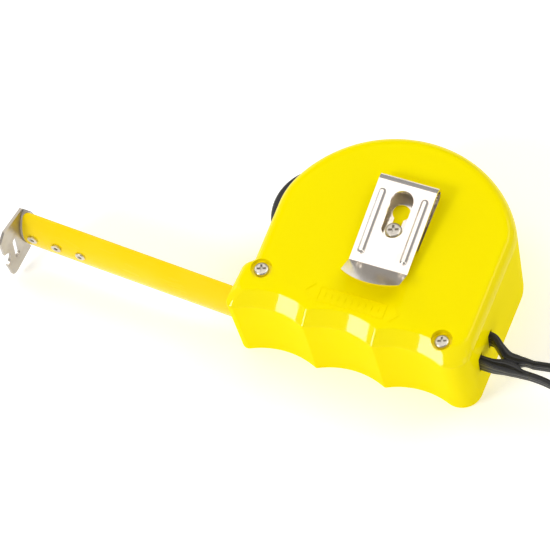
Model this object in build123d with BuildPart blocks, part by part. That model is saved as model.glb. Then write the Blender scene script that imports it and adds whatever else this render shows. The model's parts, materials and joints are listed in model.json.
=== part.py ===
"""Pocket tape measure: scalloped case, sprung reel with its blade, thumb lock, belt clip and wrist strap.

Frame, in millimetres: +Z runs from the case's front face (z = 0, the face it lies on) to its back face.
+X points to the rear of the case, so that the blade leaves towards -X. +Y points away from the finger grip.
The origin is the centre of the case's round crown, on the front face.
"""
from build123d import *
import math
import os

os.makedirs("parts", exist_ok=True)

# Case
CASE_DEPTH = 32.5  # front face to back face
CROWN_RADIUS = 35.45
FRONT_FLAT = 1.1  # how far the flat walls cut into the crown's circle
REAR_FLAT = 2.95
UPPER_FRONT_X = FRONT_FLAT - CROWN_RADIUS  # flat wall above the mouth
REAR_X = CROWN_RADIUS - REAR_FLAT  # flat rear wall
NOSE_REACH = 3.15
FRONT_X = UPPER_FRONT_X - NOSE_REACH  # tip of the nose
SCALLOP_RADIUS = 22.45
SCALLOP_CENTRE_Y = -49.15
FIRST_SCALLOP = 12.8  # from the nose's tip to the first scallop's centre
LAST_SCALLOP = 16.8  # from the last scallop's centre to the rear wall
SCALLOP_FIRST_X = FRONT_X + FIRST_SCALLOP
SCALLOP_PITCH = (REAR_X - LAST_SCALLOP - SCALLOP_FIRST_X) / 2
RIDGE_RADIUS = 1.0
NOSE_RADIUS = 2.0
INNER_NOSE_RADIUS = 0.8
FOOT_RADIUS = 5.7
SILL_TOP_Y = -13.6  # the short step over the mouth
SILL_HEIGHT = 1.3
SILL_ROUND = 2.4
REAR_BLEND_RADIUS = 12.0
FRONT_BLEND_RADIUS = 22.0
GRIP_LEAN = 3.1  # how far the grip leans in between the shoulder and the front face
SIDE_DRAFT = 0.5
SHOULDER_DROP = 3.3
SHOULDER_INSET = 3.0
GRIP_BEVEL = 5.0  # the grip's shoulder is a wide flat bevel, rounded at its foot and top
BEVEL_FOOT = 0.45
BEVEL_FOOT_LIFT = 0.2
BEVEL_TOP = SHOULDER_DROP - 0.32
BEVEL_TOP_LIFT = 3.9
BEVEL_SHARES = (0.0, 0.336, 0.652, 0.87, 1.0)  # levels between the bevel's foot and its top
RIM_SHARES = (0.75, 1.0)  # levels between the bevel's top and the back face
BASE_CHAMFER = 0.45
BASE_CHAMFER_HEIGHT = 0.5
WALL = 1.8
REBATE_WALL = 1.0
COVER_THICKNESS = 2.0
ROOF_THICKNESS = 2.2
ROOF_Z = CASE_DEPTH - ROOF_THICKNESS
CAVITY_WALL_Z = CASE_DEPTH - 4.9  # the cavity follows the shoulder above this
CAVITY_BEVEL_Z = CASE_DEPTH - SHOULDER_DROP
THROUGH = 0.1  # how far a cut starts outside what it cuts
LABEL_RADIUS = 24.0
LABEL_RECESS = 0.3

# Blade
BLADE_WIDTH = 19.0
BLADE_RISE = 2.7
BLADE_THICKNESS = 0.2
BLADE_TILT = 4.1  # degrees, rising away from the grip as it leaves the mouth
BLADE_OUT = 66.9  # exposed length, from the mouth plane
MOUTH_X = FRONT_X + 1.9
MOUTH_Y = SCALLOP_CENTRE_Y + 28.0
MOUTH_HEIGHT = 5.8
MOUTH_MARGIN = 0.8  # at each end of the mouth
MOUTH_DROP = 1.5  # from the blade's edges to the middle of the mouth
MOUTH_OUT = 3.5  # how far the mouth is cut outwards and inwards
MOUTH_IN = 1.6
RIVET_CHANNEL = (19.0, 4.0, 4.4)  # length, height and width
MID_Z = CASE_DEPTH / 2
RIVET_BACKS = (3.3, 10.6, 17.9)  # rivet distances from the hook's bend

# Reel
SPINDLE_Y = 4.6
SPINDLE_RADIUS = 3.5
RUNNING_CLEARANCE = 0.05
COIL_LOW_Z = MID_Z - BLADE_WIDTH / 2
COIL_HIGH_Z = MID_Z + BLADE_WIDTH / 2
COIL_SIDE_GAP = 0.25
COIL_GROOVES = 7
GROOVE_PITCH = 1.2
GROOVE_WIDTH = 0.25
GROOVE_DEPTH = 0.15
COIL_OUTER_RADIUS = 25.2
COIL_INNER_RADIUS = 16.3
FLANGE_RADIUS = 26.0
DRUM_RADIUS = 16.2
DRUM_BORE = 15.0
FLANGE_THICKNESS = 1.5
FLANGE_Z = COIL_LOW_Z - COIL_SIDE_GAP - FLANGE_THICKNESS
DRUM_COVER_THICKNESS = 1.2
DRUM_COVER_Z = COIL_HIGH_Z + COIL_SIDE_GAP + RUNNING_CLEARANCE
LIGHTENING_HOLES = 6
LIGHTENING_RADIUS = 2.6
LIGHTENING_CIRCLE = 20.5
BEARING_WALL = 2.0  # round the spindle's two sockets
BEARING_GAP = 0.5  # between the front socket and the reel
ROOF_BEARING_GAP = 1.05  # between the reel and the roof's socket
PRESS_FIT = 0.02
SPRING_TURNS = 7
SPRING_THICKNESS = 0.4
SPRING_WIDTH = 16.0
SPRING_Z = FLANGE_Z + FLANGE_THICKNESS + 1.5
SPRING_END_GAP = 0.6
SPRING_SLOT = 0.6
SPRING_SLOT_MARGIN = 1.0
RUN_DROP = 0.35  # the blade's inner run passes this far below the coil
RUN_START_X = -0.5
RUN_RISE = 0.25

# Hook
HOOK_SHEET = 0.8
HOOK_BEND = BLADE_OUT + 0.3
HOOK_LEAN = 0.145  # how far the flange leans out, per millimetre of its depth
HOOK_PLAY = 0.8
TONGUE_LENGTH = 20.5
TONGUE_ROOT = 0.4  # how far the tongue runs into the bend
NAIL_SLOT = (9.4, 1.8)
RIVET_SHANK = 0.8
RIVET_HEAD = 1.45
RIVET_HEAD_HEIGHT = 0.55
RIVET_HEAD_ROUND = 0.3
RIVET_TAIL = 1.3
RIVET_TAIL_HEIGHT = 0.4
RIVET_DIMPLE = 0.6

# Lock
LOCK_ANGLE = 158.0  # degrees round the crown, at rest (locked)
LOCK_TRAVEL = 9.0
LOCK_HALF_SPAN = 17.5
LOCK_HALF_WIDTH = 7.0
LOCK_INNER_RADIUS = CROWN_RADIUS + 0.15
LOCK_RIM_RADIUS = LOCK_INNER_RADIUS + 1.1
LOCK_PEAK_RADIUS = LOCK_INNER_RADIUS + 4.2
LOCK_EDGE_ROUND = 1.2
LOCK_SLOT_MARGIN = 5.0  # degrees past the lock's travel at each end
STEM_HALF_SPAN = 4.0
STEM_HALF_WIDTH = 4.2
STEM_SIDE_GAP = 0.6
ARM_GAP = 0.45
ARM_RADIUS = -UPPER_FRONT_X - SIDE_DRAFT - WALL - ARM_GAP
ARM_THICKNESS = 1.8
ARM_START = LOCK_ANGLE - 10.0
ARM_HALF_WIDTH = 6.0
PAD_GAP = 0.38  # above the line through the blade's edges
PAD_SPAN = 8.0
PAD_END = 180 + math.degrees(math.asin((-MOUTH_Y - PAD_GAP) / ARM_RADIUS))
PAD_THICKNESS = 2.6
PAD_HALF_WIDTH = 5.0

# Belt clip
CLIP_WIDTH = 17.0
CLIP_SHEET = 0.8
CLIP_FOLD_Y = 17.2
CLIP_FOLD_RADIUS = 2.3
CLIP_FREE_Y = -7.6
CLIP_FREE_LIFT = 1.5
CLIP_LIP_Y = -16.8
CLIP_LIP_LIFT = 7.9
CLIP_FOOT_Y = 0.9
CLIP_LIP_CORNER_Y = -12.7
CLIP_LIP_MIDDLE_Y = -15.6
RIB_SPREAD = 6.2
RIB_SIZE = (20.2, 2.5)
RIB_RISE = 0.2
WINDOW_SIZE = (14.0, 6.4)
WINDOW_Y = 8.4
KEYHOLE_Y = 10.8
KEYHOLE_RADIUS = 2.5
KEYHOLE_WIDTH = 2.7

# Screws
CASE_SCREWS = (  # x, y and how deep the head is sunk
    (FRONT_X + 6.5, SCALLOP_CENTRE_Y + 32.55, 1.3),
    (REAR_X - 8.6, SCALLOP_CENTRE_Y + 26.75, 2.0),
)
CASE_HEAD_RADIUS = 2.1
CASE_SHANK_RADIUS = 1.1
CASE_HEAD_HEIGHT = 1.2
CASE_SCREW_LENGTH = 12.0
COUNTERBORE_RADIUS = 3.0
BOSS_WALL = 1.0
BOSS_Z = ROOF_Z - 2.3  # where the shell's screw bosses meet the cover's posts
POST_RADIUS = 2.2
POST_ROOT_Z = 1.0
POST_FULL_Z = 0.6 * CAVITY_WALL_Z  # below this the posts give way to the leaning grip
SCREW_CLEARANCE_DEPTH = 8.0
POST_BORE_DEPTH = 10.0
CLIP_HEAD_RADIUS = 2.4
CLIP_HEAD_HEIGHT = 1.4
CLIP_SCREW_LENGTH = 9.5
CLIP_SHANK_RADIUS = 1.3
SPINDLE_BORE_DEPTH = 9.0

# Wrist strap
STRAP_LEG_YS = (-10.4, -18.0)
STRAP_LEG_THICKNESS = 2.0
STRAP_LEG_HEIGHT = 6.5
STRAP_HOLE_GAP = 0.3
NECK_X = REAR_X + 13.3
NECK_YS = (-13.1, -18.6)
STRAP_INSIDE_X = REAR_X - SIDE_DRAFT - WALL - 0.4
STRAP_BAR = 2.0
CORD_DIAMETER = 3.4
CORD_ROUTE = [
    (46.0, -14.0, 15.2),
    (56.0, -12.1, 14.3),
    (73.0, -6.5, 7.6),
    (95.0, 2.0, 1.9),
    (118.0, 6.5, 1.9),
    (139.0, 1.0, 1.9),
    (149.0, -15.5, 1.9),
    (140.0, -32.0, 1.9),
    (118.0, -38.5, 1.9),
    (95.0, -35.0, 1.9),
    (73.0, -25.5, 7.6),
    (56.0, -17.3, 14.3),
    (46.0, -17.6, 15.2),
]


def degrees_to(start, end):
    """Direction in degrees from one point to another."""
    return math.degrees(math.atan2(end[1] - start[1], end[0] - start[0]))


def case_outline(side, lift, wall=0.0, mode=Mode.ADD):
    """Draw the case's closed outline in the active sketch.

    side insets every wall but the grip, lift moves the grip up, and wall insets everything.
    """
    inset = side + wall
    nose = max(NOSE_RADIUS - wall, INNER_NOSE_RADIUS)
    foot = FOOT_RADIUS - wall
    left = FRONT_X + inset
    right = REAR_X - inset
    crown = CROWN_RADIUS - inset
    scallop = SCALLOP_RADIUS + wall
    base = SCALLOP_CENTRE_Y + lift
    centres = [(SCALLOP_FIRST_X + i * SCALLOP_PITCH, base) for i in range(3)]
    nose_x = left + nose
    nose_c = (nose_x, base + math.sqrt((scallop + nose) ** 2 - (nose_x - centres[0][0]) ** 2))
    foot_x = right - foot
    foot_c = (foot_x, base + math.sqrt((scallop + foot) ** 2 - (foot_x - centres[2][0]) ** 2))
    ridge_rise = math.sqrt((scallop + RIDGE_RADIUS) ** 2 - (SCALLOP_PITCH / 2) ** 2)
    ridges = [(c[0] + SCALLOP_PITCH / 2, base + ridge_rise) for c in centres[:2]]
    rear_c = (right - REAR_BLEND_RADIUS, 0)
    rear_c = (rear_c[0], math.sqrt((crown - REAR_BLEND_RADIUS) ** 2 - rear_c[0] ** 2))
    upper = UPPER_FRONT_X + inset
    front_c = (upper + FRONT_BLEND_RADIUS, 0)
    front_c = (front_c[0], math.sqrt((crown - FRONT_BLEND_RADIUS) ** 2 - front_c[0] ** 2))
    crown_start = degrees_to((0, 0), rear_c)
    crown_end = degrees_to((0, 0), front_c)
    stations = [nose_c, *ridges, foot_c]
    radii = [nose, RIDGE_RADIUS, RIDGE_RADIUS, foot]
    with BuildLine() as outline:
        turn = degrees_to(nose_c, centres[0]) % 360
        CenterArc(nose_c, nose, 180, turn - 180)
        for i, centre in enumerate(centres):
            begin = degrees_to(centre, stations[i])
            end = degrees_to(centre, stations[i + 1])
            CenterArc(centre, scallop, begin, end - begin)
            leave = (end + 180) % 360
            arrive = degrees_to(stations[i + 1], centres[i + 1]) % 360 if i < 2 else 360
            CenterArc(stations[i + 1], radii[i + 1], leave, arrive - leave)
        Line((right, foot_c[1]), (right, rear_c[1]))
        CenterArc(rear_c, REAR_BLEND_RADIUS, 0, crown_start)
        CenterArc((0, 0), crown, crown_start, crown_end - crown_start)
        CenterArc(front_c, FRONT_BLEND_RADIUS, crown_end, 180 - crown_end)
        Line((upper, front_c[1]), (upper, SILL_TOP_Y))
        sill = SILL_TOP_Y - SILL_HEIGHT
        Line((upper, SILL_TOP_Y), (left + 2.0, sill))
        ThreePointArc((left + 2.0, sill), (left + 0.95, sill - 1.0), (left + 0.55, sill - SILL_ROUND))
        Line((left + 0.55, sill - SILL_ROUND), (left, nose_c[1]))
    make_face(outline.edges(), mode=mode)


def grip_lift(rise):
    """How far the grip has moved in, at a height above the shoulder's foot."""
    slope = (BEVEL_TOP_LIFT - BEVEL_FOOT_LIFT) / (BEVEL_TOP - BEVEL_FOOT)
    if rise < BEVEL_FOOT:
        return BEVEL_FOOT_LIFT * (rise / BEVEL_FOOT) ** 2
    if rise < BEVEL_TOP:
        return BEVEL_FOOT_LIFT + slope * (rise - BEVEL_FOOT)
    share = (rise - BEVEL_TOP) / (SHOULDER_DROP - BEVEL_TOP)
    return GRIP_BEVEL - (GRIP_BEVEL - BEVEL_TOP_LIFT) * math.sqrt(max(0.0, 1 - share**2))


def shoulder_levels():
    """Heights and insets of the rounded shoulder between the walls and the back face."""
    bevel = [BEVEL_FOOT + share * (BEVEL_TOP - BEVEL_FOOT) for share in BEVEL_SHARES]
    rim = [BEVEL_TOP + share * (SHOULDER_DROP - BEVEL_TOP) for share in RIM_SHARES]
    levels = []
    for rise in (0.0, BEVEL_FOOT / 2, *bevel, *rim):
        side = SHOULDER_INSET * (1 - math.sqrt(max(0.0, 1 - (rise / SHOULDER_DROP) ** 2)))
        levels.append((CASE_DEPTH - SHOULDER_DROP + rise, side, grip_lift(rise)))
    return levels


# Back shell: the deep yellow moulding with the grip, the mouth and the strap holes
with BuildPart() as back_shell:
    with BuildSketch(Plane.XY):
        case_outline(SIDE_DRAFT + BASE_CHAMFER, GRIP_LEAN + BASE_CHAMFER)
    with BuildSketch(Plane.XY.offset(BASE_CHAMFER_HEIGHT)):
        case_outline(SIDE_DRAFT, GRIP_LEAN)
    for z, side, lift in shoulder_levels():
        with BuildSketch(Plane.XY.offset(z)):
            case_outline(side, lift)
    loft(ruled=True)
    with BuildSketch(Plane.XY.offset(-THROUGH)):
        case_outline(SIDE_DRAFT, GRIP_LEAN, WALL)
    with BuildSketch(Plane.XY.offset(CAVITY_WALL_Z)):
        case_outline(0.0, 0.0, WALL)
    with BuildSketch(Plane.XY.offset(CAVITY_BEVEL_Z)):
        case_outline(SHOULDER_INSET / 6, GRIP_BEVEL * 0.24, WALL)
    with BuildSketch(Plane.XY.offset(ROOF_Z)):
        case_outline(SHOULDER_INSET * 0.8, GRIP_BEVEL * 0.8, WALL)
    loft(ruled=True, mode=Mode.SUBTRACT)
    with BuildSketch(Plane.XY.offset(-THROUGH)):
        case_outline(SIDE_DRAFT, GRIP_LEAN, REBATE_WALL)
    extrude(amount=COVER_THICKNESS + THROUGH, mode=Mode.SUBTRACT)
    # Bosses round the screw seats and a socket for the spindle
    with BuildSketch(Plane.XY.offset(BOSS_Z)):
        with Locations(*[(x, y) for x, y, _ in CASE_SCREWS]):
            Circle(COUNTERBORE_RADIUS + BOSS_WALL)
    extrude(amount=ROOF_Z + THROUGH - BOSS_Z)
    roof_bearing_z = DRUM_COVER_Z + DRUM_COVER_THICKNESS + ROOF_BEARING_GAP
    with BuildSketch(Plane.XY.offset(roof_bearing_z)):
        with Locations((0, SPINDLE_Y)):
            Circle(SPINDLE_RADIUS + BEARING_WALL)
    extrude(amount=ROOF_Z + THROUGH - roof_bearing_z)
    with BuildSketch(Plane.XY.offset(roof_bearing_z)):
        with Locations((0, SPINDLE_Y)):
            Circle(SPINDLE_RADIUS + PRESS_FIT)
    extrude(amount=ROOF_Z - roof_bearing_z, mode=Mode.SUBTRACT)
    for x, y, sink in CASE_SCREWS:
        with BuildSketch(Plane.XY.offset(CASE_DEPTH - sink)):
            with Locations((x, y)):
                Circle(COUNTERBORE_RADIUS)
        extrude(amount=sink + THROUGH, mode=Mode.SUBTRACT)
        with BuildSketch(Plane.XY.offset(CASE_DEPTH)):
            with Locations((x, y)):
                Circle(CASE_SHANK_RADIUS + RUNNING_CLEARANCE)
        extrude(amount=-SCREW_CLEARANCE_DEPTH, mode=Mode.SUBTRACT)
    with BuildSketch(Plane.XY.offset(ROOF_Z - THROUGH)):
        with Locations((0, SPINDLE_Y)):
            Circle(CLIP_SHANK_RADIUS + RUNNING_CLEARANCE)
    extrude(amount=ROOF_THICKNESS + 2 * THROUGH, mode=Mode.SUBTRACT)
    # Blade mouth, along the blade's own line
    mouth_plane = Plane(
        origin=(MOUTH_X, MOUTH_Y - MOUTH_DROP, MID_Z),
        x_dir=(0, 0, 1),
        z_dir=(-math.cos(math.radians(BLADE_TILT)), math.sin(math.radians(BLADE_TILT)), 0),
    )
    for reach in (MOUTH_OUT, -MOUTH_IN):
        with BuildSketch(mouth_plane):
            RectangleRounded(BLADE_WIDTH + 2 * MOUTH_MARGIN, MOUTH_HEIGHT, 1.0)
        extrude(amount=reach, mode=Mode.SUBTRACT)
    # Channel inside the grip's wall that lets the rivet heads by
    with BuildSketch(Plane.XY.offset(MID_Z)):
        with Locations((MOUTH_X + RIVET_CHANNEL[0] / 2, MOUTH_Y - 1.3)):
            Rectangle(RIVET_CHANNEL[0], RIVET_CHANNEL[1])
    extrude(amount=RIVET_CHANNEL[2] / 2, both=True, mode=Mode.SUBTRACT)
    # Slot under the lock button
    with BuildSketch(Plane.XY.offset(MID_Z)):
        with BuildLine():
            slot_start = LOCK_ANGLE - LOCK_TRAVEL - LOCK_SLOT_MARGIN
            slot_sweep = LOCK_TRAVEL + 2 * LOCK_SLOT_MARGIN
            outer = CenterArc((0, 0), CROWN_RADIUS + 1, slot_start, slot_sweep)
            inner = CenterArc((0, 0), CROWN_RADIUS - 4, slot_start, slot_sweep)
            Line(outer @ 0, inner @ 0)
            Line(outer @ 1, inner @ 1)
        make_face()
    extrude(amount=STEM_HALF_WIDTH + STEM_SIDE_GAP, both=True, mode=Mode.SUBTRACT)
    # Two strap holes in the rear wall
    with BuildSketch(Plane(origin=(REAR_X, 0, MID_Z), x_dir=(0, 1, 0), z_dir=(1, 0, 0))):
        with Locations(*[(y, 0) for y in STRAP_LEG_YS]):
            RectangleRounded(
                STRAP_LEG_THICKNESS + 2 * STRAP_HOLE_GAP, STRAP_LEG_HEIGHT + 2 * STRAP_HOLE_GAP, 0.6
            )
    extrude(amount=4, both=True, mode=Mode.SUBTRACT)
    # Raised double arrow on the back face, its legend left blank but for a few plain ticks
    with BuildSketch(Plane.XY.offset(CASE_DEPTH - 0.05)):
        with Locations((-3.6, -16.9), (-3.6, -21.3)):
            Rectangle(19.6, 0.4)
        with Locations((-13.2, -19.1), (6.0, -19.1)):
            Rectangle(0.4, 4.8)
        for tip, heel in ((-17.2, -15.0), (10.0, 7.8)):
            with BuildLine():
                Polyline((heel, -16.4), (tip, -19.1), (heel, -21.8))
            trace(line_width=0.4)
        with Locations(*[(-11.4 + 1.95 * i, -19.1) for i in range(9)]):
            Rectangle(0.3, 1.6)
    extrude(amount=0.25)
back_shell.part.label = "back_shell"
export_step(back_shell.part, "parts/back_shell.step")

# Front cover: the plate the case lies on, with the posts that the case screws bite into
with BuildPart() as front_cover:
    with BuildSketch(Plane.XY):
        case_outline(SIDE_DRAFT, GRIP_LEAN, REBATE_WALL + RUNNING_CLEARANCE)
    extrude(amount=COVER_THICKNESS - RUNNING_CLEARANCE)
    with BuildSketch(Plane.XY.offset(POST_ROOT_Z)):
        with Locations(*[(x, y) for x, y, _ in CASE_SCREWS]):
            Circle(POST_RADIUS)
        case_outline(SIDE_DRAFT, GRIP_LEAN, WALL + 0.1, Mode.INTERSECT)
    extrude(amount=POST_FULL_Z - POST_ROOT_Z)
    with BuildSketch(Plane.XY.offset(POST_FULL_Z)):
        with Locations(*[(x, y) for x, y, _ in CASE_SCREWS]):
            Circle(POST_RADIUS)
    extrude(amount=BOSS_Z - POST_FULL_Z - RUNNING_CLEARANCE)
    with BuildSketch(Plane.XY.offset(BOSS_Z)):
        with Locations(*[(x, y) for x, y, _ in CASE_SCREWS]):
            Circle(CASE_SHANK_RADIUS + PRESS_FIT)
    extrude(amount=-POST_BORE_DEPTH, mode=Mode.SUBTRACT)
    with BuildSketch(Plane.XY.offset(POST_ROOT_Z)):
        with Locations((0, SPINDLE_Y)):
            Circle(SPINDLE_RADIUS + BEARING_WALL)
    extrude(amount=FLANGE_Z - BEARING_GAP - POST_ROOT_Z)
    with BuildSketch(Plane.XY.offset(COVER_THICKNESS)):
        with Locations((0, SPINDLE_Y)):
            Circle(SPINDLE_RADIUS + PRESS_FIT)
    extrude(amount=FLANGE_Z - COVER_THICKNESS, mode=Mode.SUBTRACT)
    with BuildSketch(Plane.XY):
        with Locations((0, SPINDLE_Y)):
            Circle(LABEL_RADIUS + 0.2)
    extrude(amount=LABEL_RECESS, mode=Mode.SUBTRACT)
front_cover.part.label = "front_cover"
export_step(front_cover.part, "parts/front_cover.step")

# Round blank label, sunk in the front cover
with BuildPart() as front_label:
    with BuildSketch(Plane.XY):
        with Locations((0, SPINDLE_Y)):
            Circle(LABEL_RADIUS)
    extrude(amount=LABEL_RECESS - RUNNING_CLEARANCE)
front_label.part.label = "front_label"
export_step(front_label.part, "parts/front_label.step")

# Spindle: the fixed post the reel turns on
with BuildPart() as spindle:
    with BuildSketch(Plane.XY.offset(COVER_THICKNESS + RUNNING_CLEARANCE)):
        with Locations((0, SPINDLE_Y)):
            Circle(SPINDLE_RADIUS)
    extrude(amount=ROOF_Z - COVER_THICKNESS - 2 * RUNNING_CLEARANCE)
    with BuildSketch(Plane.XY.offset(ROOF_Z)):
        with Locations((0, SPINDLE_Y)):
            Circle(CLIP_SHANK_RADIUS + PRESS_FIT)
    extrude(amount=-SPINDLE_BORE_DEPTH, mode=Mode.SUBTRACT)
    with BuildSketch(Plane.XY.offset(SPRING_Z + SPRING_SLOT_MARGIN)):
        with Locations((SPINDLE_RADIUS, SPINDLE_Y)):
            Rectangle(2.0, SPRING_SLOT)
    extrude(amount=SPRING_WIDTH - 2 * SPRING_SLOT_MARGIN, mode=Mode.SUBTRACT)
spindle.part.label = "spindle"
export_step(spindle.part, "parts/spindle.step")

# Reel drum: hub web, outer ring and front flange in one moulding
with BuildPart() as reel_drum:
    with BuildSketch(Plane.XY.offset(FLANGE_Z)):
        with Locations((0, SPINDLE_Y)):
            Circle(FLANGE_RADIUS)
            Circle(SPINDLE_RADIUS + RUNNING_CLEARANCE, mode=Mode.SUBTRACT)
            with PolarLocations(LIGHTENING_CIRCLE, LIGHTENING_HOLES):
                Circle(LIGHTENING_RADIUS, mode=Mode.SUBTRACT)
    extrude(amount=FLANGE_THICKNESS)
    with BuildSketch(Plane.XY.offset(FLANGE_Z + FLANGE_THICKNESS / 2)):
        with Locations((0, SPINDLE_Y)):
            Circle(DRUM_RADIUS)
            Circle(DRUM_BORE, mode=Mode.SUBTRACT)
    extrude(amount=COIL_HIGH_Z + COIL_SIDE_GAP - FLANGE_Z - FLANGE_THICKNESS / 2)
reel_drum.part.label = "reel_drum"
export_step(reel_drum.part, "parts/reel_drum.step")

# Drum cover: the rear flange, which closes the spring in
with BuildPart() as drum_cover:
    with BuildSketch(Plane.XY.offset(DRUM_COVER_Z)):
        with Locations((0, SPINDLE_Y)):
            Circle(FLANGE_RADIUS)
            Circle(SPINDLE_RADIUS + RUNNING_CLEARANCE, mode=Mode.SUBTRACT)
            with PolarLocations(LIGHTENING_CIRCLE, LIGHTENING_HOLES):
                Circle(LIGHTENING_RADIUS, mode=Mode.SUBTRACT)
    extrude(amount=DRUM_COVER_THICKNESS)
drum_cover.part.label = "drum_cover"
export_step(drum_cover.part, "parts/drum_cover.step")

# Power spring: a spiral strip of half-turn arcs between the spindle and the drum
with BuildPart() as power_spring:
    with BuildSketch(Plane.XY.offset(SPRING_Z)):
        pitch = (DRUM_BORE - SPINDLE_RADIUS - 2 * SPRING_END_GAP) / SPRING_TURNS
        with BuildLine():
            for half in range(2 * SPRING_TURNS):
                radius = SPINDLE_RADIUS + SPRING_END_GAP + pitch * (half + 0.5) / 2
                shift = pitch / 4 if half % 2 == 0 else -pitch / 4
                CenterArc((shift, SPINDLE_Y), radius, 180 * (half % 2), 180)
        trace(line_width=SPRING_THICKNESS)
    extrude(amount=SPRING_WIDTH)
power_spring.part.label = "power_spring"
export_step(power_spring.part, "parts/power_spring.step")

# Wound blade: its packed turns as one ring, with a shallow groove for every few turns
with BuildPart() as blade_coil:
    with BuildSketch(Plane.XY.offset(COIL_LOW_Z)):
        with Locations((0, SPINDLE_Y)):
            Circle(COIL_OUTER_RADIUS)
            Circle(COIL_INNER_RADIUS, mode=Mode.SUBTRACT)
    extrude(amount=BLADE_WIDTH)
    for end in (COIL_LOW_Z, COIL_HIGH_Z - GROOVE_DEPTH):
        with BuildSketch(Plane.XY.offset(end)):
            for groove in range(COIL_GROOVES):
                with Locations((0, SPINDLE_Y)):
                    Circle(COIL_INNER_RADIUS + GROOVE_PITCH * (groove + 1))
                    Circle(COIL_INNER_RADIUS + GROOVE_PITCH * (groove + 1) - GROOVE_WIDTH, mode=Mode.SUBTRACT)
        extrude(amount=GROOVE_DEPTH, mode=Mode.SUBTRACT)
blade_coil.part.label = "blade_coil"
export_step(blade_coil.part, "parts/blade_coil.step")


def blade_section(rise, outer_gap=0.0, thickness=BLADE_THICKNESS, half_width=BLADE_WIDTH / 2):
    """Draw a strip's curved cross-section in the active sketch, concave towards its +y."""
    chord = BLADE_WIDTH / 2
    radius = (chord**2 + rise**2) / (2 * rise)
    centre_y = radius - rise
    outer = radius - outer_gap
    inner = outer - thickness
    spread = math.degrees(math.asin(half_width / outer))
    with BuildLine() as section:
        low = CenterArc((0, centre_y), outer, 270 - spread, 2 * spread)
        high = CenterArc((0, centre_y), inner, 270 - spread, 2 * spread)
        Line(low @ 0, high @ 0)
        Line(low @ 1, high @ 1)
    make_face(section.edges())


def blade_plane(distance):
    """Plane across the exposed blade, at a distance from the mouth: x along +Z, y to the concave side."""
    tilt = math.radians(BLADE_TILT)
    return Plane(
        origin=(MOUTH_X - distance * math.cos(tilt), MOUTH_Y + distance * math.sin(tilt), MID_Z),
        x_dir=(0, 0, 1),
        z_dir=(-math.cos(tilt), math.sin(tilt), 0),
    )


def blade_plan(lift=0.0):
    """Plane seen from the blade's concave side: x outwards along the blade, y along -Z."""
    tilt = math.radians(BLADE_TILT)
    return Plane(
        origin=(MOUTH_X + lift * math.sin(tilt), MOUTH_Y + lift * math.cos(tilt), MID_Z),
        x_dir=(-math.cos(tilt), math.sin(tilt), 0),
        z_dir=(math.sin(tilt), math.cos(tilt), 0),
    )


# Exposed blade, with rounded corners and its rivet holes
with BuildPart() as blade_strip:
    with BuildSketch(blade_plane(0.0)):
        blade_section(BLADE_RISE)
    extrude(amount=BLADE_OUT)
    with BuildSketch(blade_plan(-6)):
        with Locations((BLADE_OUT / 2, 0)):
            Rectangle(BLADE_OUT, BLADE_WIDTH + 4)
        for side in (-1, 1):
            with Locations((BLADE_OUT, side * BLADE_WIDTH / 2)):
                Rectangle(3.2, 3.2, rotation=45, mode=Mode.SUBTRACT)
        with Locations(*[(HOOK_BEND - back, 0) for back in RIVET_BACKS]):
            Circle(RIVET_SHANK + RUNNING_CLEARANCE, mode=Mode.SUBTRACT)
    extrude(amount=12, mode=Mode.INTERSECT)
blade_strip.part.label = "blade_strip"
export_step(blade_strip.part, "parts/blade_strip.step")

# Inner run of the blade, flat where it leaves the coil and curved at the mouth
with BuildPart() as blade_run:
    with BuildSketch(
        Plane(
            origin=(RUN_START_X, SPINDLE_Y - COIL_OUTER_RADIUS - RUN_DROP, MID_Z),
            x_dir=(0, 0, 1),
            z_dir=(-1, 0, 0),
        )
    ):
        blade_section(RUN_RISE)
    with BuildSketch(Plane(origin=(MOUTH_X + 0.35, MOUTH_Y, MID_Z), x_dir=(0, 0, 1), z_dir=(-1, 0, 0))):
        blade_section(BLADE_RISE)
    loft(ruled=True)
blade_run.part.label = "blade_run"
export_step(blade_run.part, "parts/blade_run.step")

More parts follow.
